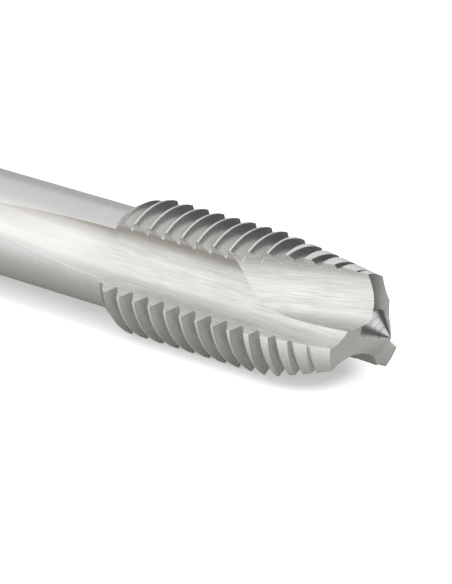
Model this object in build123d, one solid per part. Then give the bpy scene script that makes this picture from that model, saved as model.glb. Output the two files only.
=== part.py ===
"""A three-flute machine tap with a spiral point, for an M12 x 1.75 right-hand thread.

The tap lies along X with its point toward +X. It rests on two of its lands, with the
flute between them facing straight down. The origin is under the middle of its length,
at the height of the ground. Lengths are in millimetres and angles in degrees.
"""
from build123d import *
import os
from math import acos, asin, cos, degrees, radians, sin, tan

os.makedirs("parts", exist_ok=True)

# Shank and drive square
overall_length = 110.0      # from the end of the square to the tip of the point
shank_diameter = 9.0
square_width = 7.0          # across the flats
square_length = 10.0
shank_end_chamfer = 0.6
centre_hole_mouth = 2.8     # centre hole in the end of the shank
centre_hole_pilot = 1.2
centre_hole_pilot_depth = 1.2
centre_hole_angle = 60.0    # included angle

# Thread
thread_diameter = 12.0
thread_pitch = 1.75
flank_angle = 60.0          # included angle of the groove
depth_per_pitch = 0.6134    # depth of the groove over the pitch
crest_flat_per_pitch = 0.125
thread_length = 29.65       # from the tip back to where the shank starts to thicken
thread_end_bevel = 3.45     # length of the taper from the shank up to full crests
first_groove_ahead = 1.16   # middle of the first groove, ahead of the foot of that taper
groove_span = 90.0          # angle of one groove cutter, longer than the land it crosses
groove_overshoot = 0.1      # how far the groove cutters stand out of the crests

# Chamfer and point
chamfer_angle = 7.2         # between the chamfer and the axis
chamfer_offset = 0.55       # the chamfer's cone sits off the axis, so each land drops to its heel
land_end_radius = 4.93      # middle of a land, where the chamfer meets the end face
end_face_angle = 141.4      # included angle of the coned end face
centre_cone_radius = 2.0    # small cone in the middle of the end face
centre_cone_height = 1.7

# Straight flutes
flute_count = 3
flute_floor_radius = 3.24   # radius of the round flute floor
web_radius = 3.1            # from the axis to the nearest point of the flute floor
heel_slope = 47.3           # between the flat behind each land and the radius
flute_length = 30.2         # full depth, from the tip back to the start of the run-out
run_out_slope = 5.15        # how steeply the flute climbs out through the shank
run_out_skew = 2.85         # and how it drifts toward the cutting face meanwhile
run_out_length = 22.0       # long enough for the flute to leave the shank

# Spiral point: a second groove ground at a slant into each cutting face
gun_radius = 3.12
gun_centre_out = 4.41       # groove centre from the axis, where the lands end
gun_centre_side = 2.34      # groove centre from the flute's middle plane, there
gun_lean = 10.8             # slant toward the axis
gun_skew = 9.9              # slant toward the cutting face
gun_reach_back = 30.0       # how far back along its slant, past where the groove has run out
gun_reach_ahead = 6.0       # and how far ahead, clear of the tip

# Worked out from the sizes above
crest_radius = thread_diameter / 2
shank_radius = shank_diameter / 2
thread_depth = depth_per_pitch * thread_pitch
root_radius = crest_radius - thread_depth
flank_run = thread_depth * tan(radians(flank_angle / 2))
root_flat = thread_pitch * (1 - crest_flat_per_pitch) - 2 * flank_run
tip_x = overall_length / 2
shank_end_x = -overall_length / 2
thread_end_x = tip_x - thread_length
centre_cone_x = tip_x - centre_cone_height
end_face_rise = (land_end_radius - centre_cone_radius) / tan(radians(end_face_angle / 2))
land_end_x = centre_cone_x - end_face_rise
end_face_x = centre_cone_x - (crest_radius - centre_cone_radius) / tan(radians(end_face_angle / 2))
flute_centre = web_radius + flute_floor_radius
beyond = thread_diameter    # how far the cutters reach past the metal

# Angles of the two land edges at the crest, each side of the flute's middle plane
cutting_edge_angle = degrees(acos(
    (crest_radius**2 + flute_centre**2 - flute_floor_radius**2) / (2 * crest_radius * flute_centre)
))
heel_line_offset = flute_centre * sin(radians(heel_slope)) - flute_floor_radius
heel_edge_angle = heel_slope - degrees(asin(heel_line_offset / crest_radius))

# The pose at rest: both edges of the bottom flute touch the ground
resting_half_angle = (cutting_edge_angle + heel_edge_angle) / 2
resting_turn = (heel_edge_angle - cutting_edge_angle) / 2
axis_height = crest_radius * cos(radians(resting_half_angle))


def blank():
    """The blank, turned about X: shank, threaded body and coned point."""
    profile = Polyline(
        (shank_end_x, 0),
        (shank_end_x, shank_radius - shank_end_chamfer),
        (shank_end_x + shank_end_chamfer, shank_radius),
        (thread_end_x, shank_radius),
        (thread_end_x + thread_end_bevel, crest_radius),
        (end_face_x, crest_radius),
        (centre_cone_x, centre_cone_radius),
        (tip_x, 0),
        close=True,
    )
    return revolve(make_face(profile), Axis.X)


def centre_hole():
    """The centre hole in the shank end: a pilot with a countersunk mouth."""
    mouth_depth = (centre_hole_mouth - centre_hole_pilot) / 2 / tan(radians(centre_hole_angle / 2))
    bottom_x = shank_end_x + mouth_depth + centre_hole_pilot_depth
    profile = Polyline(
        (shank_end_x - centre_hole_pilot, 0),
        (shank_end_x - centre_hole_pilot, centre_hole_mouth / 2),
        (shank_end_x, centre_hole_mouth / 2),
        (shank_end_x + mouth_depth, centre_hole_pilot / 2),
        (bottom_x, centre_hole_pilot / 2),
        (bottom_x, 0),
        close=True,
    )
    return revolve(make_face(profile), Axis.X)


def square_cutter():
    """What is milled off the shank end to leave the drive square."""
    around = Box(2 * square_length, 2 * beyond, 2 * beyond)
    kept = Box(2 * square_length, square_width, square_width)
    return Pos(shank_end_x, 0, 0) * (around - kept)


def flute_cutter():
    """One straight flute, cut from above (+Z), with its run-out through the shank.

    The section is a round floor. On the heel side (-Y) it goes on as a flat, tangent to
    the floor. The section runs along the tap, then up a gentle slope."""
    floor = Pos(0, flute_centre) * Circle(flute_floor_radius)
    heel_x = -cos(radians(heel_slope))
    heel_y = -sin(radians(heel_slope))
    tangent_point = (flute_floor_radius * heel_x, flute_centre + flute_floor_radius * heel_y)
    outward = (-sin(radians(heel_slope)), cos(radians(heel_slope)))
    heel_back = make_face(Polyline(
        (0, flute_centre),
        tangent_point,
        (tangent_point[0] + beyond * outward[0], tangent_point[1] + beyond * outward[1]),
        (0, flute_centre + beyond),
        close=True,
    ))
    section = floor + heel_back
    run_out_x = tip_x - flute_length
    place = Plane(origin=(run_out_x, 0, 0), x_dir=(0, 1, 0), z_dir=(1, 0, 0))
    straight = extrude(place * section, flute_length + beyond)
    climb = (-1, tan(radians(run_out_skew)), tan(radians(run_out_slope)))
    run_out = extrude(place * section, run_out_length, dir=climb)
    return straight + run_out


def gun_cutter():
    """One slanting groove of the spiral point, in the flute that faces up (+Z)."""
    slant = Vector(1, tan(radians(gun_skew)), -tan(radians(gun_lean))).normalized()
    centre = Vector(land_end_x, gun_centre_side, gun_centre_out)
    place = Plane(origin=centre, z_dir=slant)
    length = gun_reach_back + gun_reach_ahead
    return place * Pos(0, 0, length / 2 - gun_reach_back) * Cylinder(gun_radius, length)


def chamfer_cutter():
    """What the chamfer takes off the land that faces up (+Z), cutting edge toward -Y."""
    back_radius = crest_radius + 2 * chamfer_offset
    back_x = land_end_x - (back_radius - land_end_radius) / tan(radians(chamfer_angle))
    front_x = tip_x
    front_radius = land_end_radius - (front_x - land_end_x) * tan(radians(chamfer_angle))
    profile = Polyline(
        (back_x, 0),
        (back_x, back_radius),
        (front_x, front_radius),
        (front_x, 0),
        close=True,
    )
    cone = Pos(0, -chamfer_offset, 0) * revolve(make_face(profile), Axis.X)
    half_sector = 180 / flute_count
    corner_y = 2 * beyond * sin(radians(half_sector))
    corner_z = 2 * beyond * cos(radians(half_sector))
    sector = make_face(Polyline((0, 0), (corner_y, corner_z), (-corner_y, corner_z), close=True))
    place = Plane(origin=(back_x, 0, 0), x_dir=(0, 1, 0), z_dir=(1, 0, 0))
    return extrude(place * sector, front_x - back_x) - cone


def groove_segment(centre_x, centre_angle):
    """The thread groove where it crosses one land, as a closed helical cutter.

    Its root, flanks and open side are ruled between four helices. Its two ends lie in
    the flutes beside the land, clear of the metal."""
    outer_radius = crest_radius + groove_overshoot
    outer_half = root_flat / 2 + (outer_radius - root_radius) * tan(radians(flank_angle / 2))
    advance = thread_pitch * groove_span / 360
    start_angle = centre_angle - groove_span / 2
    start_x = centre_x - advance / 2
    # A helix is drawn about Z from +X, so this turns its start to face along -Z, then to its angle
    turned = Rotation(start_angle + 90, 0, 0) * Rotation(0, 90, 0)

    def rail(radius, offset):
        return (Pos(start_x + offset, 0, 0) * turned * Helix(thread_pitch, advance, radius)).edge()

    rails = [
        rail(root_radius, -root_flat / 2),
        rail(root_radius, root_flat / 2),
        rail(outer_radius, outer_half),
        rail(outer_radius, -outer_half),
    ]
    sides = [Face.make_surface_from_curves(a, b) for a, b in zip(rails, rails[1:] + rails[:1])]
    caps = [Face(Wire.make_polygon([edge @ end for edge in rails])) for end in (0, 1)]
    return Solid(Shell(sides + caps))


def thread_grooves():
    """Every crossing of groove and land, one step of the helix after another."""
    step = thread_pitch / flute_count
    first_x = thread_end_x + first_groove_ahead
    first_angle = 180 / flute_count - 90
    count = int((land_end_x - first_x) / step)
    return [
        groove_segment(first_x + i * step, first_angle + i * 360 / flute_count)
        for i in range(count)
    ]


def thread_tap():
    """The finished tap, lying at rest on the ground."""
    tool = blank() - centre_hole() - square_cutter()
    for flute in range(flute_count):
        turn = Rotation(180 - resting_turn + flute * 360 / flute_count, 0, 0)
        tool -= turn * flute_cutter()
        tool -= turn * gun_cutter()
        tool -= Rotation(flute * 360 / flute_count, 0, 0) * chamfer_cutter()
    tool -= thread_grooves()
    return Pos(0, 0, axis_height) * tool


tap = thread_tap()
tap.label = "tap"
export_step(tap, "parts/tap.step")
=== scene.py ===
# %% [markdown]
# # A spiral point thread tap, ground from bright high-speed steel
#
# The tap is a rod of steel with a thread cut round it, three straight flutes ground along
# it and a second, slanting groove ground into the front of each flute. The scene loads the
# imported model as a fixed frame, and the tap is then made again with finer surfaces.

# %% The frame
import math
import bmesh
import bpy
import numpy as np
from mathutils import Matrix


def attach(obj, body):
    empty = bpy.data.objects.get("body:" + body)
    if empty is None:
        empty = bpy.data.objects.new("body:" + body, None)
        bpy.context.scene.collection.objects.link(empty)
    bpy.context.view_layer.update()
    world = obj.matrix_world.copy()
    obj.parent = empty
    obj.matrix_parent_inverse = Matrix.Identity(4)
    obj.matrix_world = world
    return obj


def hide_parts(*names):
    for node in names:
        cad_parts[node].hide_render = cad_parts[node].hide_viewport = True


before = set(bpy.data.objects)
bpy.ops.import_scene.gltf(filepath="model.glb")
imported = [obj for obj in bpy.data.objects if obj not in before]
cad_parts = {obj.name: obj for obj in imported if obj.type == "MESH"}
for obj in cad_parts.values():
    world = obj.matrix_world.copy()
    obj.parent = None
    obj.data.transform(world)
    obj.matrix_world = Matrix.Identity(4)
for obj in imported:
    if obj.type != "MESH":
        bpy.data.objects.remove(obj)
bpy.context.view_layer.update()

scene = bpy.context.scene
scene.view_settings.view_transform = "Standard"

# %% [markdown]
# The camera comes first, because every later choice is judged through it. It stands in
# front of the point, to the right and above, with a long lens that keeps the lines of a
# small tool nearly parallel. Its place is a centre to look at, a distance and three angles.

# %% The camera
camera_aim = (0.0338205, 0.0035697, 0.0025851)
camera_distance = 0.376186
camera_turn = math.radians(42.5625)     # round the vertical, from looking along +Y
camera_tilt = math.radians(24.4353)     # above the horizon
camera_roll = math.radians(-4.1059)
camera_lens = 272.0
camera_reach = 20.0                     # nothing farther off is drawn

camera_data = bpy.data.cameras.new("camera")
camera_data.lens = camera_lens
camera_data.clip_end = camera_reach
camera = bpy.data.objects.new("camera", camera_data)
scene.collection.objects.link(camera)
scene.camera = camera


def camera_axes(turn, tilt, roll):
    """Right, up and back of a camera turned about Z, tilted down, then rolled about its view."""
    back = np.array([
        math.sin(turn) * math.cos(tilt),
        -math.cos(turn) * math.cos(tilt),
        math.sin(tilt),
    ])
    level = np.array([math.cos(turn), math.sin(turn), 0.0])
    lift = np.cross(back, level)
    right = math.cos(roll) * level + math.sin(roll) * lift
    return right, np.cross(back, right), back


def stand(thing, turn, tilt, roll, distance):
    """Put a camera or a lamp at a distance from the aim, turned to look at it."""
    axes = camera_axes(turn, tilt, roll)
    place = np.eye(4)
    place[:3, :3] = np.column_stack(axes)
    place[:3, 3] = np.array(camera_aim) + distance * axes[2]
    thing.matrix_world = Matrix(place.tolist())
    return place[:3, 3]


camera_place = stand(camera, camera_turn, camera_tilt, camera_roll, camera_distance)
print("The camera stands at", camera_place.round(4), "metres")

# %% [markdown]
# Materials, the floor and the world are all nodes that feed each other. A few helpers keep
# that short: one adds a node and joins it up, and three more do arithmetic, make a smooth
# step and mix two colours.

# %% Helpers for shader nodes


def add(tree, kind, settings=None, **sockets):
    """A node with its settings, and its sockets set to numbers or joined to other nodes.

    A socket is named with _ for a space, or by its number after an _.
    """
    node = tree.nodes.new(kind)
    for label, value in (settings or {}).items():
        setattr(node, label, value)
    for label, value in sockets.items():
        number = label[1:]
        socket = node.inputs[int(number) if number.isdigit() else label.replace("_", " ")]
        if isinstance(value, bpy.types.NodeSocket):
            tree.links.new(value, socket)
        else:
            socket.default_value = value
    return node


def maths(tree, operation, *values):
    """One step of arithmetic. Each value is a number or another node's output."""
    sockets = {f"_{i}": value for i, value in enumerate(values)}
    return add(tree, "ShaderNodeMath", {"operation": operation}, **sockets).outputs[0]


def eased(tree, value, first, last, low, high):
    """Low up to the first value, high past the last one, and a smooth step between."""
    return add(
        tree, "ShaderNodeMapRange", {"interpolation_type": "SMOOTHSTEP"},
        Value=value, From_Min=first, From_Max=last, To_Min=low, To_Max=high,
    ).outputs[0]


def mixed(tree, factor, first, second, blend="MIX"):
    """Two colours mixed or blended by a factor."""
    return add(
        tree, "ShaderNodeMix", {"data_type": "RGBA", "blend_type": blend},
        Factor=factor, _6=first, _7=second,
    ).outputs[2]

# %% [markdown]
# The stage is a white floor in a white world, as in a photographer's light tent. The floor
# is an ordinary matt white surface, so it keeps the tap's soft shadow. A little glow, seen
# only by the camera and in reflections, lifts it to the white of the backdrop. The glow is
# weaker close to the tap, where the shadow is deepest.

# %% The floor
floor_size = 3.0
floor_colour = (0.8, 0.8, 0.8, 1.0)
floor_glow_near = 0.36
floor_glow_far = 0.74
glow_from = 0.0032                # distance from the tap's line where the glow starts to grow
glow_to = 0.0060
floor_line_end = 0.0452           # the front end of that line


def seen_directly(tree):
    """One where a ray comes from the camera, a reflection or a transmission, else nought."""
    path = tree.nodes.new("ShaderNodeLightPath")
    first = maths(tree, "MAXIMUM", path.outputs["Is Camera Ray"], path.outputs["Is Glossy Ray"])
    return maths(tree, "MAXIMUM", first, path.outputs["Is Transmission Ray"])


def ground_place(tree, line_end):
    """How far a place on the ground is past the line's end along X, and its Y."""
    where = add(tree, "ShaderNodeSeparateXYZ", Vector=add(tree, "ShaderNodeTexCoord").outputs["Object"])
    past = maths(tree, "SUBTRACT", where.outputs["X"], line_end)
    return maths(tree, "MAXIMUM", past, 0.0), where.outputs["Y"]


def matt(name, colour):
    """A matt material of one colour."""
    material = bpy.data.materials.new(name)
    material.use_nodes = True
    shader = material.node_tree.nodes["Principled BSDF"]
    shader.inputs["Base Color"].default_value = colour
    shader.inputs["Roughness"].default_value = 1.0
    shader.inputs["Specular IOR Level"].default_value = 0.0
    shader.inputs["Emission Color"].default_value = (1.0, 1.0, 1.0, 1.0)
    return material


def ground_sheet(name, height, material):
    """A square sheet as wide as the floor."""
    half = floor_size / 2
    mesh = bpy.data.meshes.new(name)
    corners = [(x, y, height) for x, y in ((-half, -half), (half, -half), (half, half), (-half, half))]
    mesh.from_pydata(corners, [], [(0, 1, 2, 3)])
    mesh.materials.append(material)
    sheet = bpy.data.objects.new(name, mesh)
    scene.collection.objects.link(sheet)
    return sheet


floor_material = matt("floor_white", floor_colour)
floor_tree = floor_material.node_tree
floor_past, floor_y = ground_place(floor_tree, floor_line_end)
squares = maths(floor_tree, "MULTIPLY", floor_past, floor_past)
reach = maths(floor_tree, "SQRT", maths(floor_tree, "MULTIPLY_ADD", floor_y, floor_y, squares))
glow = eased(floor_tree, reach, glow_from, glow_to, floor_glow_near, floor_glow_far)
glow_seen = maths(floor_tree, "MULTIPLY", glow, seen_directly(floor_tree))
floor_tree.links.new(glow_seen, floor_tree.nodes["Principled BSDF"].inputs["Emission Strength"])
ground_sheet("floor", 0.0, floor_material)
print("The floor is", floor_size, "metres across")

# %% [markdown]
# The world shines evenly from all sides. It looks pure white, also in the tap, but lights
# the matt floor a little less than that. Two large lamps, one low at the left and one high
# above, give the light a direction, so that the tap has a soft shadow.

# %% The world and the lamps
world_light = 0.85
lamp_distance = 0.45

world = bpy.data.worlds.new("tent")
world.use_nodes = True
scene.world = world
world_tree = world.node_tree
background = world_tree.nodes["Background"]
background.inputs["Color"].default_value = (1.0, 1.0, 1.0, 1.0)
strength = maths(world_tree, "MULTIPLY_ADD", seen_directly(world_tree), 1.0 - world_light, world_light)
world_tree.links.new(strength, background.inputs["Strength"])


def soft_lamp(name, turn, tilt, width, height, power):
    """A rectangular lamp, in metres and watts, that shines at the camera's aim."""
    data = bpy.data.lights.new(name, "AREA")
    data.shape = "RECTANGLE"
    data.size = width
    data.size_y = height
    data.energy = power
    lamp = bpy.data.objects.new(name, data)
    scene.collection.objects.link(lamp)
    stand(lamp, math.radians(turn), math.radians(tilt), 0.0, lamp_distance)


soft_lamp("key_lamp", turn=-45.0, tilt=28.0, width=0.80, height=0.46, power=0.50)
soft_lamp("top_lamp", turn=-20.0, tilt=84.0, width=0.40, height=0.40, power=0.26)
print("Two lamps shine at the tap from", lamp_distance, "metres")

# %% [markdown]
# A bright metal shows what stands round it, so under light from all sides it looks like paper. Three
# props, seen only in reflections, give it something to show: a dark curtain to the right of the tap, a
# low grey one behind it, and a grey mat that lies under it and fades into the floor. The mat's darker
# grey near the tap is a painted shadow of the tap, for the reflections.

# %% The curtains and the grey mat
curtain_radius = 0.26
curtain_steps = 48
dark_curtain_colour = (0.06, 0.06, 0.06, 1.0)
grey_curtain_colour = (0.62, 0.62, 0.62, 1.0)


def only_in_reflections(prop):
    """A stage prop that the camera, shadows and soft light don't notice."""
    prop.visible_camera = False
    prop.visible_diffuse = False
    prop.visible_shadow = False


def curtain(name, first, last, low, high, colour):
    """Part of an upright tube: radius times cos and sin of the bearing from +X, low to high."""
    t = np.radians(np.linspace(first, last, curtain_steps))
    ring = np.column_stack([curtain_radius * np.cos(t) + camera_aim[0], curtain_radius * np.sin(t)])
    points = np.vstack([np.insert(ring, 2, height, axis=1) for height in (low, high)])
    near = np.arange(curtain_steps - 1)
    faces = np.column_stack([near, near + 1, near + 1 + curtain_steps, near + curtain_steps])
    mesh = bpy.data.meshes.new(name)
    mesh.from_pydata(points.tolist(), [], faces.tolist())
    mesh.materials.append(matt(name, colour))
    sheet = bpy.data.objects.new(name, mesh)
    scene.collection.objects.link(sheet)
    only_in_reflections(sheet)


curtain("curtain_dark", first=-36.0, last=88.0, low=0.001, high=0.14, colour=dark_curtain_colour)
curtain("curtain_grey", first=124.0, last=170.0, low=0.001, high=0.12, colour=grey_curtain_colour)

mat_height = 0.00002
# The mat is darker and glows less next to the tap: a painted shadow of the tap on the floor, seen in
# reflections.
mat_shadow_colour = (0.52, 0.505, 0.475, 1.0)
mat_colour_far = (0.86, 0.86, 0.86, 1.0)
mat_shadow_glow = 0.20
mat_glow_far = 0.38
mat_from = 0.002                  # distance in front of the tap where the painted shadow's grey starts to fade
mat_to = 0.022
mat_line_end = 0.046
mat_shear = 0.6                   # how much slower it fades past the point
mat_material = matt("mat_grey", mat_shadow_colour)
mat_tree = mat_material.node_tree
mat_past, mat_y = ground_place(mat_tree, mat_line_end)
slower = maths(mat_tree, "MULTIPLY", mat_past, -mat_shear)
in_front = maths(mat_tree, "MULTIPLY_ADD", mat_y, -1.0, slower)
fade = eased(mat_tree, in_front, mat_from, mat_to, 0.0, 1.0)
mat_colour = mixed(mat_tree, fade, mat_shadow_colour, mat_colour_far)
mat_glow = maths(mat_tree, "MULTIPLY_ADD", fade, mat_glow_far - mat_shadow_glow, mat_shadow_glow)
mat_shader = mat_tree.nodes["Principled BSDF"]
mat_tree.links.new(mat_colour, mat_shader.inputs["Base Color"])
mat_tree.links.new(mat_colour, mat_shader.inputs["Emission Color"])
mat_tree.links.new(mat_glow, mat_shader.inputs["Emission Strength"])
only_in_reflections(ground_sheet("mat", mat_height, mat_material))
print("Two curtains at", curtain_radius, "metres and a mat, seen only in reflections")

# %% [markdown]
# The sizes of a tap follow its thread. This one cuts an M12 thread with a 1.75 mm pitch,
# and the shank and its square are the usual ones for that thread. The tap is made lying
# along X in millimetres, round the axis itself, and is lifted and scaled at the end.

# %% Sizes of the tap, in millimetres and degrees
overall_length = 110.0
shank_radius = 4.5
square_width = 7.0
square_length = 10.0
shank_end_chamfer = 0.6
crest_radius = 6.0
thread_pitch = 1.75
flank_angle = 30.0                # each flank from square to the axis
flank_slope = math.tan(math.radians(flank_angle))
depth_share = 0.65                # depth of the thread as a part of the pitch
crest_flat_share = 0.125          # width of its crest as a part of the pitch
thread_depth = depth_share * thread_pitch
root_radius = crest_radius - thread_depth
root_flat = thread_pitch * (1 - crest_flat_share) - 2 * thread_depth * flank_slope
tip_x = overall_length / 2
shank_end_x = -overall_length / 2
thread_length = 29.65             # the front stretch of the tap, which carries the thread
thread_end_x = tip_x - thread_length
first_groove_ahead = 1.16
first_groove_x = thread_end_x + first_groove_ahead
first_land_angle = -30.0
flute_count = 3
resting_turn = 1.666              # the bottom flute's turn from straight down
axis_height = 5.0911
print("Root of the thread at radius", round(root_radius, 3), "mm, flat", round(root_flat, 3), "mm")

# %% [markdown]
# Each solid here is a ring of points carried along a path and closed at its ends, like
# icing pushed from a nozzle. One function skins such rings, and a solid of revolution is
# the same thing with round rings.

# %% Helpers for solids
around = 288                      # points round the tap
merge_distance = 1e-5


def solid_object(name, rings, joined=False):
    """A closed solid from rings, an array of path steps by ring points by xyz.

    Point j of ring i joins point j + 1 and ring i + 1. The last point joins the first.
    A joined path closes on its first ring, and another gets a flat cap at each end.
    """
    steps, count, _ = rings.shape
    index = np.arange(steps * count).reshape(steps, count)
    ahead = np.roll(index, -1, axis=1)
    if joined:
        low, high, low_next, high_next = index, np.roll(index, -1, 0), ahead, np.roll(ahead, -1, 0)
    else:
        low, high, low_next, high_next = index[:-1], index[1:], ahead[:-1], ahead[1:]
    faces = np.stack([low, low_next, high_next, high], axis=-1).reshape(-1, 4).tolist()
    if not joined:
        faces += [index[0][::-1].tolist(), index[-1].tolist()]
    mesh = bpy.data.meshes.new(name)
    mesh.from_pydata(rings.reshape(-1, 3).tolist(), [], faces)
    work = bmesh.new()
    work.from_mesh(mesh)
    bmesh.ops.remove_doubles(work, verts=work.verts, dist=merge_distance)
    bmesh.ops.recalc_face_normals(work, faces=work.faces)
    work.to_mesh(mesh)
    work.free()
    mesh.materials.append(bpy.data.materials.new(name))
    solid = bpy.data.objects.new(name, mesh)
    scene.collection.objects.link(solid)
    return solid


def round_rings(profile):
    """Circles about X: at each (x, r) of the profile, x, r cos t and r sin t."""
    x, r = np.array(profile, dtype=float).T
    t = np.linspace(0, 2 * np.pi, around, endpoint=False)
    return np.stack([
        np.repeat(x[:, None], around, 1), np.outer(r, np.cos(t)), np.outer(r, np.sin(t))
    ], axis=-1)


def turned(points, degrees):
    """Points turned about X, from +Y toward +Z."""
    c = math.cos(math.radians(degrees))
    s = math.sin(math.radians(degrees))
    return points @ np.array([[1, 0, 0], [0, c, s], [0, -s, c]])


# %% [markdown]
# The blank is what a lathe leaves: a shank, a taper up to the full thread that is steep at
# first, and a blunt point with a smaller cone in its middle. A Screw modifier could turn it
# too. With rings, the same profile also gives the exact directions of its surfaces later.

# %% The turned blank
land_end_radius = 4.93
end_face_angle = math.radians(70.7)     # between the end face and the axis
centre_cone_radius = 2.0
centre_cone_height = 1.7
centre_cone_x = tip_x - centre_cone_height
land_end_x = centre_cone_x - (land_end_radius - centre_cone_radius) / math.tan(end_face_angle)
end_face_x = centre_cone_x - (crest_radius - centre_cone_radius) / math.tan(end_face_angle)
taper_start_x = thread_end_x + 1.7
taper_knee_x = thread_end_x + 1.95
taper_knee_radius = 5.2
taper_end_x = thread_end_x + 3.45

blank_profile = [
    (shank_end_x, shank_radius - shank_end_chamfer),
    (shank_end_x + shank_end_chamfer, shank_radius),
    (taper_start_x, shank_radius),
    (taper_knee_x, taper_knee_radius),
    (taper_end_x, crest_radius),
    (end_face_x, crest_radius),
    (centre_cone_x, centre_cone_radius),
    (tip_x, 0.0),
]
blank = solid_object("blank", round_rings(blank_profile))
print("The lands end at x =", round(land_end_x, 2), "mm")

# %% [markdown]
# The thread groove is one trapezoid carried along a helix: a flat root, and two flanks that
# open at 30 degrees each. A bump in the material would be quicker, but the outline of a
# thread has to show its teeth. The groove starts and stops in the middle of a flute, where
# the flute takes its ends away.

# %% The thread groove
groove_overshoot = 0.1            # how far the cutter stands out of the crests


def groove_rings():
    """Trapezoids along the helix x = x0 + pitch * turn, of points r out from the axis."""
    outer_radius = crest_radius + groove_overshoot
    open_half = root_flat / 2 + (outer_radius - root_radius) * flank_slope
    third = 360 / flute_count
    lands = int((land_end_x - first_groove_x) / (thread_pitch / flute_count))
    start = first_land_angle - third / 2
    stop = start + lands * third
    angle = np.linspace(start, stop, int((stop - start) / 360 * around) + 1)
    centre = first_groove_x + thread_pitch * (angle - first_land_angle) / 360
    offset = np.array([-root_flat / 2, root_flat / 2, open_half, -open_half])
    radius = np.array([root_radius, root_radius, outer_radius, outer_radius])
    t = np.radians(angle)[:, None]
    return np.stack([centre[:, None] + offset, radius * np.cos(t), radius * np.sin(t)], axis=-1)


groove = solid_object("groove", groove_rings())
print("The groove has", len(groove.data.polygons), "faces")

# %% [markdown]
# A flute is ground by a shaped wheel: a round floor, and on the heel side a flat that is
# tangent to it. The wheel runs straight along the thread, then climbs out through the shank
# on a gentle slope. Carrying the wheel's outline along that way leaves the same edges.

# %% The flutes
flute_floor_radius = 3.24
web_radius = 3.1                  # what is left between the axis and the floor
flute_centre = web_radius + flute_floor_radius
heel_slope = math.radians(47.3)
flute_length = 30.2
run_out_x = tip_x - flute_length
run_out_length = 22.0
run_out_skew = math.radians(2.85)
run_out_slope = math.radians(5.15)
run_out_way = np.array([-1.0, math.tan(run_out_skew), math.tan(run_out_slope)])
run_out_ease = 6.0                # length over which the wheel goes from level to the slope
easing_steps = 13
beyond = 12.0                     # how far the cutters reach past the metal
floor_points = 120


def flute_section():
    """The wheel's outline, across (y) and out (z): a circle, then a tangent flat line."""
    t = np.linspace(np.pi / 2, -np.pi + heel_slope, floor_points)
    y = flute_floor_radius * np.cos(t)
    z = flute_centre + flute_floor_radius * np.sin(t)
    far_y = y[-1] - beyond * math.sin(heel_slope)
    far_z = z[-1] + beyond * math.cos(heel_slope)
    outside = np.array([[far_y, far_z], [0.0, flute_centre + beyond]])
    return np.vstack([np.column_stack([y, z]), outside])


def climb(x):
    """How far up the slope the wheel is at x, and its slope there as a part of the whole.

    The start is eased: the square of the distance over twice the ease, then a straight line.
    """
    gone = run_out_x + run_out_ease / 2 - x
    part = np.clip(gone / run_out_ease, 0.0, 1.0)
    return np.where(part < 1, run_out_ease * part**2 / 2, gone - run_out_ease / 2), part


def flute_rings():
    """The section carried along X, at each x moved across and out by the climb's way."""
    section = flute_section()
    easing = np.linspace(run_out_x - run_out_ease / 2, run_out_x + run_out_ease / 2, easing_steps)
    x = np.concatenate([[run_out_x - run_out_length], easing, [tip_x + beyond]])
    lift = climb(x)[0][:, None, None] * run_out_way[1:]
    return np.concatenate([np.repeat(x[:, None, None], len(section), 1), section + lift], axis=-1)


flute_turns = [180 - resting_turn + k * 360 / flute_count for k in range(flute_count)]
flutes = [
    solid_object(f"flute_{k}", turned(flute_rings(), flute_turns[k])) for k in range(flute_count)
]
print("The flutes are turned by", flute_turns, "degrees")

# %% [markdown]
# The spiral point is one more groove at the front of each flute, leaning toward the axis
# and toward the cutting face, so that the tap pushes its chips ahead of it.

# %% The slanting grooves of the point
gun_radius = 3.12
gun_centre = np.array([land_end_x, 2.34, 4.41])
gun_skew = math.radians(9.9)      # toward the cutting face
gun_lean = math.radians(10.8)     # toward the axis
gun_line = np.array([1.0, math.tan(gun_skew), -math.tan(gun_lean)])
gun_line /= np.linalg.norm(gun_line)
gun_side = np.cross(gun_line, [0.0, 0.0, 1.0])
gun_side /= np.linalg.norm(gun_side)
gun_lift = np.cross(gun_side, gun_line)
gun_reach = (-30.0, 6.0)
gun_points = 160


def gun_rings():
    """Circles square to the slanting line, at the two ends of its reach."""
    t = np.linspace(0, 2 * np.pi, gun_points, endpoint=False)[:, None]
    circle = gun_radius * (np.cos(t) * gun_side + np.sin(t) * gun_lift)
    return np.stack([circle + gun_centre + reach * gun_line for reach in gun_reach])


guns = [solid_object(f"gun_{k}", turned(gun_rings(), flute_turns[k])) for k in range(flute_count)]
print("Each slanting groove runs along", gun_line.round(3))

# %% [markdown]
# The chamfer is the lead of the thread: over the last few turns each land is ground to a
# cone, set a little off the axis, so that the land falls away behind its cutting edge.

# %% The chamfer of each land
chamfer_slope = math.tan(math.radians(7.2))
chamfer_offset = 0.55
chamfer_rise = 0.05               # it meets the end face this much further out
chamfer_end_radius = land_end_radius + chamfer_rise
chamfer_half_angle = 50.0
chamfer_points = 120
chamfer_reach = 1.0               # how far it goes on past the tip


def chamfer_rings():
    """Inside, a part of a cone whose axis is moved to -Y; outside, a part of a wide tube."""
    back_radius = crest_radius + 2 * chamfer_offset
    back_x = land_end_x - (back_radius - chamfer_end_radius) / chamfer_slope
    x = np.array([back_x, tip_x + chamfer_reach])
    r = chamfer_end_radius - (x - land_end_x) * chamfer_slope
    t = np.radians(90 + np.linspace(-chamfer_half_angle, chamfer_half_angle, chamfer_points))
    along = np.repeat(x[:, None], chamfer_points, 1)
    inner = np.stack([along, np.outer(r, np.cos(t)) - chamfer_offset, np.outer(r, np.sin(t))], axis=-1)
    wide = np.full(2, 2 * crest_radius)
    outer = np.stack([along, np.outer(wide, np.cos(t)), np.outer(wide, np.sin(t))], axis=-1)
    return np.concatenate([inner, outer[:, ::-1]], axis=1)


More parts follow.
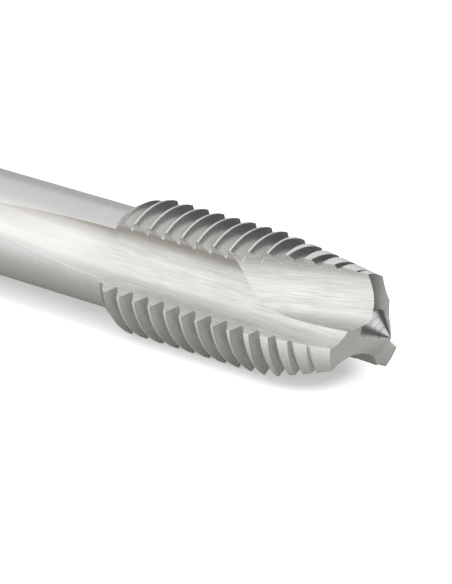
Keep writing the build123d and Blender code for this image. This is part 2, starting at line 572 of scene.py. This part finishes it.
land_turns = [k * 360 / flute_count for k in range(flute_count)]
chamfers = [
    solid_object(f"chamfer_{k}", turned(chamfer_rings(), land_turns[k])) for k in range(flute_count)
]
print("The chamfers are turned by", land_turns, "degrees")

# %% [markdown]
# The other end is held in a square socket, and the centre hole in it carried the blank
# between the centres of the grinder.

# %% The drive square and the centre hole
hole_mouth_radius = 1.4
hole_radius = 0.6
hole_mouth_depth = 1.386
hole_depth = 2.586
hole_ahead = 1.2                  # how far its cutter stands out of the end


def square_rings():
    """A rectangle of length by wall, carried round the four corners of the square."""
    corner = np.array([[1, 1], [-1, 1], [-1, -1], [1, -1]], dtype=float)
    near = corner[:, None, :] * square_width / 2
    far = corner[:, None, :] * 2 * crest_radius
    wall = np.concatenate([near, near, far, far], axis=1)
    x = np.array([shank_end_x - beyond, shank_end_x + square_length])
    along = np.repeat(x[[0, 1, 1, 0]][None], 4, 0)
    return np.concatenate([along[..., None], wall], axis=-1)


square = solid_object("square", square_rings(), joined=True)
hole_profile = [
    (shank_end_x - hole_ahead, hole_mouth_radius),
    (shank_end_x, hole_mouth_radius),
    (shank_end_x + hole_mouth_depth, hole_radius),
    (shank_end_x + hole_depth, hole_radius),
    (shank_end_x + hole_depth, 0.0),
]
hole = solid_object("hole", round_rings(hole_profile))
print("The centre hole is", hole_depth, "mm deep")

# %% [markdown]
# Now the tap is ground as a toolmaker grinds it: every cutter is taken off the blank in
# turn with a Boolean modifier. Each cutter's own material comes along with its faces, so
# the faces remember which wheel made them.

# %% Grinding
cutters = [groove, *flutes, *guns, *chamfers, square, hole]
for cutter in cutters:
    grind = blank.modifiers.new(cutter.name, "BOOLEAN")
    grind.operation = "DIFFERENCE"
    grind.solver = "MANIFOLD"
    grind.material_mode = "TRANSFER"
    grind.object = cutter
bpy.context.view_layer.update()
ground = blank.evaluated_get(bpy.context.evaluated_depsgraph_get())
tap_mesh = bpy.data.meshes.new_from_object(ground)
print("Ground mesh:", len(tap_mesh.vertices), "points,", len(tap_mesh.polygons), "faces")

# %% [markdown]
# The mesh is made of flat facets, and the real surfaces are round. So each corner of each
# face gets the exact direction of the real surface there. The same steps work out the
# grinding lines: one coordinate along the lines that the wheel left and one across them,
# in millimetres, kept as a UV map. First come the arrays that all of this needs.

# %% Corners, faces and the tools that made them
kinds = [material.name for material in tap_mesh.materials]
face_total = len(tap_mesh.polygons)


def read(items, name, width, kind):
    """A property of every item as an array."""
    values = np.empty(len(items) * width, dtype=kind)
    items.foreach_get(name, values)
    return values.reshape(-1, width) if width > 1 else values


corner_of = read(tap_mesh.loops, "vertex_index", 1, np.int32)
face_start = read(tap_mesh.polygons, "loop_start", 1, np.int32)
face_kind = read(tap_mesh.polygons, "material_index", 1, np.int32)
face_normal = read(tap_mesh.polygons, "normal", 3, np.float32).astype(float)
corner_face = np.repeat(np.arange(face_total), read(tap_mesh.polygons, "loop_total", 1, np.int32))
corner = read(tap_mesh.vertices, "co", 3, np.float32).astype(float)[corner_of]
flat = face_normal[corner_face]
normal = flat.copy()
lines = np.zeros((len(corner), 2))
tint = np.zeros(len(corner))      # 1 where painted shade makes the steel darker and warmer
shine = np.zeros(len(corner))     # 1 where a painted highlight brightens it


def of_kind(start):
    """The corners whose faces were made by the tools whose names begin so."""
    chosen = [i for i, name in enumerate(kinds) if name.startswith(start)]
    return np.isin(face_kind, chosen)[corner_face]


def unit(vectors):
    """Vectors at length one."""
    return vectors / np.linalg.norm(vectors, axis=-1, keepdims=True)


def round_angle(local):
    """The angle about X in radians, from the bottom flute, and unbroken over each face."""
    angle = np.mod(np.arctan2(local[:, 2], local[:, 1]) + np.pi / 2, 2 * np.pi)
    low = np.minimum.reduceat(angle, face_start)[corner_face]
    high = np.maximum.reduceat(angle, face_start)[corner_face]
    return np.where((high - low > np.pi) & (angle < np.pi), angle + 2 * np.pi, angle)


turn_angle = round_angle(corner)
print(len(corner), "corners on", face_total, "faces, made by", ", ".join(kinds))

# %% [markdown]
# The blank, the centre hole and the chamfers are all cylinders and cones. Their direction
# leans along X by a fixed amount, which the profile gives, and for the rest points away
# from the axis, or toward it inside the hole.

# %% Round surfaces
pole_radius = 1e-3                # nearer the axis than this, the facet's own direction counts
least_length = 1e-9               # keeps a point on the axis from a division by nought
end_on = 0.6                      # a face looks along X if its direction has more X than this
end_line_radius = 2.0             # where the length of the lines is true on such a face


def slopes_of(profile):
    """The X part of the outward direction of each straight piece of an (x, r) profile."""
    step = np.diff(np.array(profile, dtype=float), axis=0)
    return -step[:, 1] / np.hypot(step[:, 0], step[:, 1])


def smooth_round(chosen, slopes, across=0.0, turn=0.0):
    """Cones and cylinders: (n, sqrt(1 - n n) away from the axis), n one of the slopes.

    Grinding lines run round the axis, and the distance across them is measured along X
    on a cylinder, or outward on a face that looks along X.
    """
    local = turned(corner[chosen], -turn) + np.array([0.0, across, 0.0])
    facet = turned(flat[chosen], -turn)
    n = np.asarray(slopes)[np.abs(facet[:, :1] - np.asarray(slopes)[None]).argmin(axis=1)]
    r = np.hypot(local[:, 1], local[:, 2])
    pole = r < pole_radius
    away = np.where(pole[:, None], facet[:, 1:], local[:, 1:])
    away = away / np.maximum(np.linalg.norm(away, axis=1, keepdims=True), least_length)
    side = np.where((away * facet[:, 1:]).sum(axis=1) < 0, -1.0, 1.0)
    out = side * np.sqrt(1 - n**2)
    normal[chosen] = turned(np.column_stack([n, out * away[:, 0], out * away[:, 1]]), turn)
    looks_along = np.abs(n) > end_on
    lines[chosen, 0] = turn_angle[chosen] * np.where(looks_along, end_line_radius, crest_radius)
    lines[chosen, 1] = np.where(looks_along, r, local[:, 0])


smooth_round(of_kind("blank"), [-1.0, *slopes_of(blank_profile)])
smooth_round(of_kind("hole"), -slopes_of(hole_profile))
chamfer_n = math.sin(math.atan(chamfer_slope))
for k in range(flute_count):
    smooth_round(of_kind(f"chamfer_{k}"), [chamfer_n], chamfer_offset, land_turns[k])
print("The chamfers' faces look along X by", round(chamfer_n, 4))

# %% [markdown]
# A flank of the thread is a ramp that winds round the axis. So its direction also leans
# round the axis, by the lead over the circumference, which is more near the root.

# %% The thread's flanks and root
flank_on = 0.3                    # a groove's face is a flank if its direction has more X
turn_shift = 3.7                  # moves each turn's lines on, so that no two turns are alike


def smooth_thread(chosen):
    """Flanks: (-+1, tan(30) outward, +-lead / (2 pi r) round). The root: straight outward.

    Grinding lines follow the helix, and the distance across them is the radius.
    """
    p = corner[chosen]
    r = np.hypot(p[:, 1], p[:, 2])
    outward = np.column_stack([np.zeros(len(p)), p[:, 1] / r, p[:, 2] / r])
    onward = np.column_stack([np.zeros(len(p)), -p[:, 2] / r, p[:, 1] / r])
    facing = flat[chosen][:, :1]
    side = np.where(np.abs(facing) > flank_on, np.sign(facing), 0.0)
    lead = thread_pitch / (2 * np.pi * r)[:, None]
    tilt = np.where(side == 0, 1.0, flank_slope)
    normal[chosen] = unit(side * [1.0, 0.0, 0.0] + tilt * outward - side * lead * onward)
    helix = (p[:, 0] - first_groove_x) / thread_pitch - turn_angle[chosen] / (2 * np.pi)
    lines[chosen, 0] = turn_angle[chosen] * crest_radius
    lines[chosen, 1] = r + turn_shift * np.round(helix)


smooth_thread(of_kind("groove"))
print(of_kind("groove").sum(), "corners on the thread")

# %% [markdown]
# In the flutes the directions follow the shape of the wheel. Two masks of painted light are made here
# too: a painted highlight where the wheel climbs out through the shank, and a painted shade, darker and
# warmer, along the edges where the flute meets the shank and the thread, and on one side of each groove
# of the point.

# %% The flutes and the point's grooves
highlight_from = thread_end_x + 3.6   # the run-out's painted highlight comes in from here
highlight_length = 9.0
shade_band_width = 1.2                  # the painted shade's width below the shank's edge or the roots
tooth_shade_width = 0.35           # and how soon it has gone again up the teeth
point_shade_from = 3.4             # round the groove of the point, the painted shade comes in from here
point_shade_to = 4.3
flute_shift = 0.01                # per degree of turn, so that no two flutes are alike
gun_shift = 20.0


def smooth_flute(chosen, turn):
    """Toward the circle's centre on the floor, square to the flat on the heel side.

    On the slope the direction tips until it is square to the way the wheel climbs.
    Grinding lines run along the flute, and the distance across follows the section.
    The painted shade, darker and warmer, grows in a straight line up to where the floor's circle meets
    the shank or the thread's root, at cos = (R R + c c - r r) / (2 c R), and falls off again up the
    teeth. A painted highlight grows along the run-out.
    """
    p = turned(corner[chosen], -turn)
    climbed, slope_part = climb(p[:, 0])
    y = p[:, 1] - climbed * run_out_way[1]
    z = p[:, 2] - climbed * run_out_way[2] - flute_centre
    on_flat = -y * math.sin(heel_slope) + z * math.cos(heel_slope)
    on_heel = (on_flat > 0) & (y < 0)
    across = np.column_stack([-y, -z]) / np.hypot(y, z)[:, None]
    across[on_heel] = [math.cos(heel_slope), math.sin(heel_slope)]
    tip = (across @ run_out_way[1:]) * slope_part
    normal[chosen] = turned(unit(np.column_stack([tip, across])), turn)
    arc = flute_floor_radius * np.arctan2(y, -z)
    heel_arc = -flute_floor_radius * (np.pi / 2 - heel_slope) - on_flat
    lines[chosen] = np.column_stack([p[:, 0], np.where(on_heel, heel_arc, arc) + flute_shift * turn])
    outside = np.where(p[:, 0] > taper_start_x, root_radius, shank_radius)
    centre = flute_centre + climbed * run_out_way[2]
    meeting = (flute_floor_radius**2 + centre**2 - outside**2) / (2 * centre * flute_floor_radius)
    edge_arc = flute_floor_radius * np.arccos(np.clip(meeting, -1.0, 1.0))
    below = edge_arc - arc
    tint[chosen] = np.clip(1.0 - np.maximum(below / shade_band_width, -below / tooth_shade_width), 0.0, 1.0)
    # Painted highlight: the flute's colour is drawn brighter along the run-out.
    shine[chosen] = np.clip((highlight_from - p[:, 0]) / highlight_length, 0.0, 1.0)


def smooth_gun(chosen, turn):
    """Toward the slanting line. Grinding lines run along it."""
    p = turned(corner[chosen], -turn) - gun_centre
    along = p @ gun_line
    away = p - along[:, None] * gun_line
    normal[chosen] = turned(unit(-away), turn)
    arc = gun_radius * np.arctan2(away @ gun_side, -(away @ gun_lift))
    lines[chosen] = np.column_stack([along, arc + gun_shift + flute_shift * turn])
    # Painted shade, darker and warmer, on one side of the groove of the point.
    tint[chosen] = np.clip((arc - point_shade_from) / (point_shade_to - point_shade_from), 0.0, 1.0)


for k in range(flute_count):
    smooth_flute(of_kind(f"flute_{k}"), flute_turns[k])
    smooth_gun(of_kind(f"gun_{k}"), flute_turns[k])
print("Corners with some tint:", (tint > 0).sum(), "and with some shine:", (shine > 0).sum())

# %% [markdown]
# The square is flat, so its facets' own directions are right. Its grinding lines run
# across it. The largest angle between a corner's direction and its facet's is a quick test
# of all the formulas: if one of them were wrong, it would be tens of degrees.

# %% The drive square's lines, and a test
on_square = of_kind("square")
across_square = np.column_stack([np.zeros(len(flat)), -flat[:, 2], flat[:, 1]])[on_square]
lines[on_square, 0] = (corner[on_square] * across_square).sum(axis=1)
lines[on_square, 1] = corner[on_square, 0]
off = np.degrees(np.arccos(np.clip((normal * flat).sum(axis=1), -1, 1)))
print("Most that a corner's direction leaves its facet's:", off.max().round(2), "degrees")

# %% [markdown]
# The faces are sorted into finishes: by the wheel that made each one, and on the blank and in the
# thread also by the way it looks. Two finishes are painted light: a lighter copy of the flank finish on
# the backs of the upper threads, and the centre cone's upward faces, which alone get painted highlights
# on its rings.

# %% The finish of each face
finishes = ["shank", "crest", "flank", "flute", "point", "end", "cone", "back_flank"]
finish_of_tool = {"groove": "flank", "flute": "flute", "gun": "point", "chamfer": "crest"}
taper_on = -0.1                   # the taper's faces look along X by less than this
end_face_on = 0.85                # the end face's by more, and the centre cone's by less
cone_lit_on = 0.08                # the cone's rings, with painted highlights, show where a face looks up by more

face_finish = np.zeros(face_total, dtype=np.int32)
for i, name in enumerate(kinds):
    face_finish[face_kind == i] = finishes.index(finish_of_tool.get(name.split("_")[0], "shank"))
face_centre = read(tap_mesh.polygons, "center", 3, np.float32)
facing = face_normal[:, 0]
on_blank = face_kind == kinds.index("blank")
on_groove = face_kind == kinds.index("groove")
on_cone = on_blank & (facing > end_on) & (facing < end_face_on)
cone_lit = on_cone & (face_normal[:, 2] > cone_lit_on)
face_finish[on_blank & (face_centre[:, 0] > thread_end_x)] = finishes.index("crest")
face_finish[on_blank & (facing < taper_on) & (face_centre[:, 0] > 0)] = finishes.index("shank")
face_finish[(on_blank & (facing > end_face_on)) | on_cone] = finishes.index("end")
# Painted highlight: only the centre cone's upward faces get the bright, ringed cone finish.
face_finish[cone_lit] = finishes.index("cone")
# Painted light: the backs of the threads on the upper half get a lighter copy of the flank finish.
face_finish[on_groove & (facing < -flank_on) & (face_centre[:, 2] > 0)] = finishes.index("back_flank")
face_finish[on_groove & (np.abs(facing) < flank_on)] = finishes.index("crest")
finish_counts = np.bincount(face_finish, minlength=len(finishes)).tolist()
print("Faces of each finish:", dict(zip(finishes, finish_counts)))

# %% [markdown]
# Last, the mesh moves to its place: up until it rests on two of its lands, and from millimetres to
# metres. It takes the grinding lines, the masks of painted shade and painted highlight, and the normals
# with it, stands in for the model's solid, and the cutters go.

# %% The finished tap
metres_per_mm = 0.001
hair_under = 0.99999              # keeps rounding from taking the tap past the CAD model's box
tap_mesh.name = "spiral_point_tap"
placed = read(tap_mesh.vertices, "co", 3, np.float32) + [0.0, 0.0, axis_height]
placed = placed * metres_per_mm * hair_under
tap_mesh.vertices.foreach_set("co", placed.astype(np.float32).ravel())
tap_mesh.uv_layers.new(name="grind").data.foreach_set("uv", lines.astype(np.float32).ravel())
for name, values in (("tint", tint), ("shine", shine)):
    mask = tap_mesh.attributes.new(name, "FLOAT", "CORNER")
    mask.data.foreach_set("value", values.astype(np.float32))
tap_mesh.polygons.foreach_set("use_smooth", np.ones(face_total, dtype=bool))
tap_mesh.normals_split_custom_set(normal.tolist())
tap = bpy.data.objects.new("spiral_point_tap", tap_mesh)
scene.collection.objects.link(tap)
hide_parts("tap")
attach(tap, "root")
for tool in [blank, *cutters]:
    spare = tool.data
    bpy.data.objects.remove(tool)
    bpy.data.meshes.remove(spare)
print("The tap has", len(tap_mesh.polygons), "faces, and its axis is", axis_height, "mm high")

# %% [markdown]
# Ground steel is never plain: the wheel leaves fine parallel scratches, some broad and some hair-thin,
# and the sheen drifts softly over them. Painted light changes the tone too: a painted highlight where
# the flutes run out, and a painted shade, darker and warmer, along their edges. Three node groups hold
# these effects, built once, and every finish uses them with its own numbers.

# %% Node groups
line_detail = 2.0
line_roughness = 0.6
cloud_detail = 3.0
speck_detail = 2.0
mottle_roughness = 0.55
plain_colour = (0.8, 0.8, 0.8, 1.0)
# Colours of painted light: a warm painted shade along the flutes' edges, and a painted highlight on the
# run-out.
painted_shade_colour = (0.66, 0.632, 0.58, 1.0)
highlight_colour = (0.72, 0.715, 0.70, 1.0)
highlight_share = 0.85


def group_with(name, inputs, outputs, socket_type="NodeSocketFloat"):
    """A shader node group with named inputs, each with its default, and named outputs."""
    tree = bpy.data.node_groups.new(name, "ShaderNodeTree")
    sides = tree.interface
    for label, value in inputs.items():
        sides.new_socket(name=label, in_out="INPUT", socket_type=socket_type).default_value = value
    for label in outputs:
        sides.new_socket(name=label, in_out="OUTPUT", socket_type=socket_type)
    return tree, tree.nodes.new("NodeGroupInput"), tree.nodes.new("NodeGroupOutput")


def noise(tree, place, scale, detail, roughness):
    """Noise at a place, from 0 to 1."""
    return add(
        tree, "ShaderNodeTexNoise", Vector=place, Scale=scale, Detail=detail, Roughness=roughness
    ).outputs["Fac"]


def grinding_group():
    """Noise stretched along the lines of the grinding UV map, fine and broad, both 0 to 1."""
    stretches = {"Fine across": 9.0, "Fine along": 0.35, "Broad across": 2.0, "Broad along": 0.08}
    tree, given, out = group_with("grinding_lines", {**stretches, "Seed": 0.0}, ["Fine", "Broad"])
    uv = add(tree, "ShaderNodeUVMap", {"uv_map": "grind"}).outputs["UV"]
    on_map = add(tree, "ShaderNodeSeparateXYZ", Vector=uv)
    for label in ("Fine", "Broad"):
        stretched = add(
            tree, "ShaderNodeCombineXYZ",
            X=maths(tree, "MULTIPLY", on_map.outputs["X"], given.outputs[f"{label} along"]),
            Y=maths(tree, "MULTIPLY", on_map.outputs["Y"], given.outputs[f"{label} across"]),
            Z=given.outputs["Seed"],
        ).outputs[0]
        tree.links.new(noise(tree, stretched, 1.0, line_detail, line_roughness), out.inputs[label])
    return tree


def mottle_group():
    """Soft clouds and small specks in Object coordinates, both 0 to 1."""
    tree, given, out = group_with(
        "steel_mottle", {"Cloud size mm": 2.0, "Speck size mm": 0.12}, ["Cloud", "Speck"]
    )
    place = add(tree, "ShaderNodeTexCoord").outputs["Object"]
    for label, detail in (("Cloud", cloud_detail), ("Speck", speck_detail)):
        scale = maths(tree, "DIVIDE", 1 / metres_per_mm, given.outputs[f"{label} size mm"])
        tree.links.new(noise(tree, place, scale, detail, mottle_roughness), out.inputs[label])
    return tree


def tone_group():
    """The colour, drawn toward the painted highlight's colour by its mask, then multiplied by the
    painted shade's colour by its mask.
    """
    tree, given, out = group_with("steel_tone", {"Colour": plain_colour}, ["Colour"], "NodeSocketColor")
    painted_highlight_here = add(tree, "ShaderNodeAttribute", {"attribute_name": "shine"}).outputs["Fac"]
    painted_shade_here = add(tree, "ShaderNodeAttribute", {"attribute_name": "tint"}).outputs["Fac"]
    share = maths(tree, "MULTIPLY", painted_highlight_here, highlight_share)
    brighter = mixed(tree, share, given.outputs["Colour"], highlight_colour)
    shaded = mixed(tree, painted_shade_here, brighter, painted_shade_colour, blend="MULTIPLY")
    tree.links.new(shaded, out.inputs["Colour"])
    return tree


grinding = grinding_group()
mottle = mottle_group()
steel_tone = tone_group()
print("Node groups:", ", ".join(group.name for group in (grinding, mottle, steel_tone)))

# %% [markdown]
# One function then builds each finish: a metal whose colour runs between two greys with
# the lines and clouds, whose roughness follows them, and whose surface the lines scratch.
# The UV map also gives the tangent, along which the anisotropy draws out the sheen.

# %% One ground finish
edge_radius = 0.00008             # hair-thin rounding that catches light along the edges
edge_samples = 4
scratch_depth = 0.00002
anisotropy = 0.4
darkest = 0.36                    # mean of the noises that gives the dark colour
lightest = 0.64


def steel(name, dark, light, roughness, seed, fine, broad, cloud=0.3, speck=0.0,
          across=9.0, along=0.35, broad_across=2.0, bump=0.05):
    """Colour = dark to light by a weighted mean of lines, clouds and specks, made steeper.

    The lightest places have the first roughness and the darkest ones the second. Fine,
    broad, cloud and speck are the weights, and across and along how fast the lines change.
    """
    material = bpy.data.materials.new(name)
    material.use_nodes = True
    tree = material.node_tree
    shader = tree.nodes["Principled BSDF"]
    ground_lines = add(
        tree, "ShaderNodeGroup", {"node_tree": grinding},
        Seed=seed, Fine_across=across, Fine_along=along, Broad_across=broad_across,
    )
    clouds = add(tree, "ShaderNodeGroup", {"node_tree": mottle})
    total = 0.0
    for value, weight in (
        (ground_lines.outputs["Fine"], fine),
        (ground_lines.outputs["Broad"], broad),
        (clouds.outputs["Cloud"], cloud),
        (clouds.outputs["Speck"], speck),
    ):
        total = maths(tree, "MULTIPLY_ADD", value, weight, total)
    mean = maths(tree, "DIVIDE", total, fine + broad + cloud + speck)
    tone = add(tree, "ShaderNodeMapRange", Value=mean, From_Min=darkest, From_Max=lightest).outputs[0]
    colour = mixed(tree, tone, (*dark, 1.0), (*light, 1.0))
    toned = add(tree, "ShaderNodeGroup", {"node_tree": steel_tone}, Colour=colour)
    tree.links.new(toned.outputs[0], shader.inputs["Base Color"])
    gloss = add(tree, "ShaderNodeMapRange", Value=tone, To_Min=roughness[1], To_Max=roughness[0])
    tree.links.new(gloss.outputs[0], shader.inputs["Roughness"])
    rounded = add(tree, "ShaderNodeBevel", {"samples": edge_samples}, Radius=edge_radius)
    scratched = add(
        tree, "ShaderNodeBump", Strength=bump, Distance=scratch_depth,
        Height=ground_lines.outputs["Fine"], Normal=rounded.outputs[0],
    )
    tree.links.new(scratched.outputs["Normal"], shader.inputs["Normal"])
    shader.inputs["Metallic"].default_value = 1.0
    shader.inputs["Anisotropic"].default_value = anisotropy
    way = add(tree, "ShaderNodeTangent", {"direction_type": "UV_MAP", "uv_map": "grind"})
    tree.links.new(way.outputs[0], shader.inputs["Tangent"])
    return material

# %% [markdown]
# Each finish has its own two greys, roughness and lines. The shank is the most even, with
# the longest lines. The flanks of the thread are speckled, and the flutes and the slanting
# grooves have the finest lines.

# %% The finishes
recipes = {
    "shank": dict(
        dark=(0.55, 0.55, 0.545), light=(0.60, 0.60, 0.595), roughness=(0.26, 0.32), seed=1.0,
        fine=0.3, broad=0.3, across=5.0, along=0.1, broad_across=1.0, bump=0.03,
    ),
    "crest": dict(
        dark=(0.56, 0.56, 0.555), light=(0.71, 0.71, 0.705), roughness=(0.26, 0.34), seed=2.0,
        fine=0.8, broad=0.2, speck=0.3, along=0.8,
    ),
    "flank": dict(
        dark=(0.42, 0.42, 0.41), light=(0.62, 0.615, 0.60), roughness=(0.28, 0.36), seed=3.0,
        fine=0.25, broad=0.2, speck=0.8, across=5.0,
    ),
    "flute": dict(
        dark=(0.45, 0.445, 0.43), light=(0.625, 0.62, 0.605), roughness=(0.20, 0.30), seed=4.0,
        fine=1.0, broad=0.3, across=10.0, along=0.28,
    ),
    "point": dict(
        dark=(0.49, 0.485, 0.47), light=(0.68, 0.67, 0.65), roughness=(0.20, 0.30), seed=5.0,
        fine=1.0, broad=0.3, across=10.0, along=0.28,
    ),
    "end": dict(
        dark=(0.58, 0.585, 0.59), light=(0.64, 0.645, 0.65), roughness=(0.24, 0.30), seed=6.0,
        fine=0.3, broad=0.1, speck=0.3, across=7.0, along=0.5, bump=0.005,
    ),
    # Painted highlights: the cone's upward faces, brighter and more ringed than the end.
    "cone": dict(
        dark=(0.46, 0.46, 0.46), light=(0.82, 0.82, 0.81), roughness=(0.22, 0.28), seed=7.0,
        fine=0.9, broad=0.1, cloud=0.1, speck=0.2, along=0.3, bump=0.03,
    ),
    # Painted light: a lighter copy of the flank finish, for the backs of the upper threads.
    "back_flank": dict(
        dark=(0.66, 0.655, 0.64), light=(0.80, 0.795, 0.78), roughness=(0.28, 0.36), seed=8.0,
        fine=0.25, broad=0.2, cloud=0.4, speck=0.4, across=5.0,
    ),
}
tap_mesh.materials.clear()
for finish in finishes:
    tap_mesh.materials.append(steel(f"{finish}_ground", **recipes[finish]))
tap_mesh.polygons.foreach_set("material_index", face_finish)
tap_mesh.update()
print("Finishes:", ", ".join(material.name for material in tap_mesh.materials))
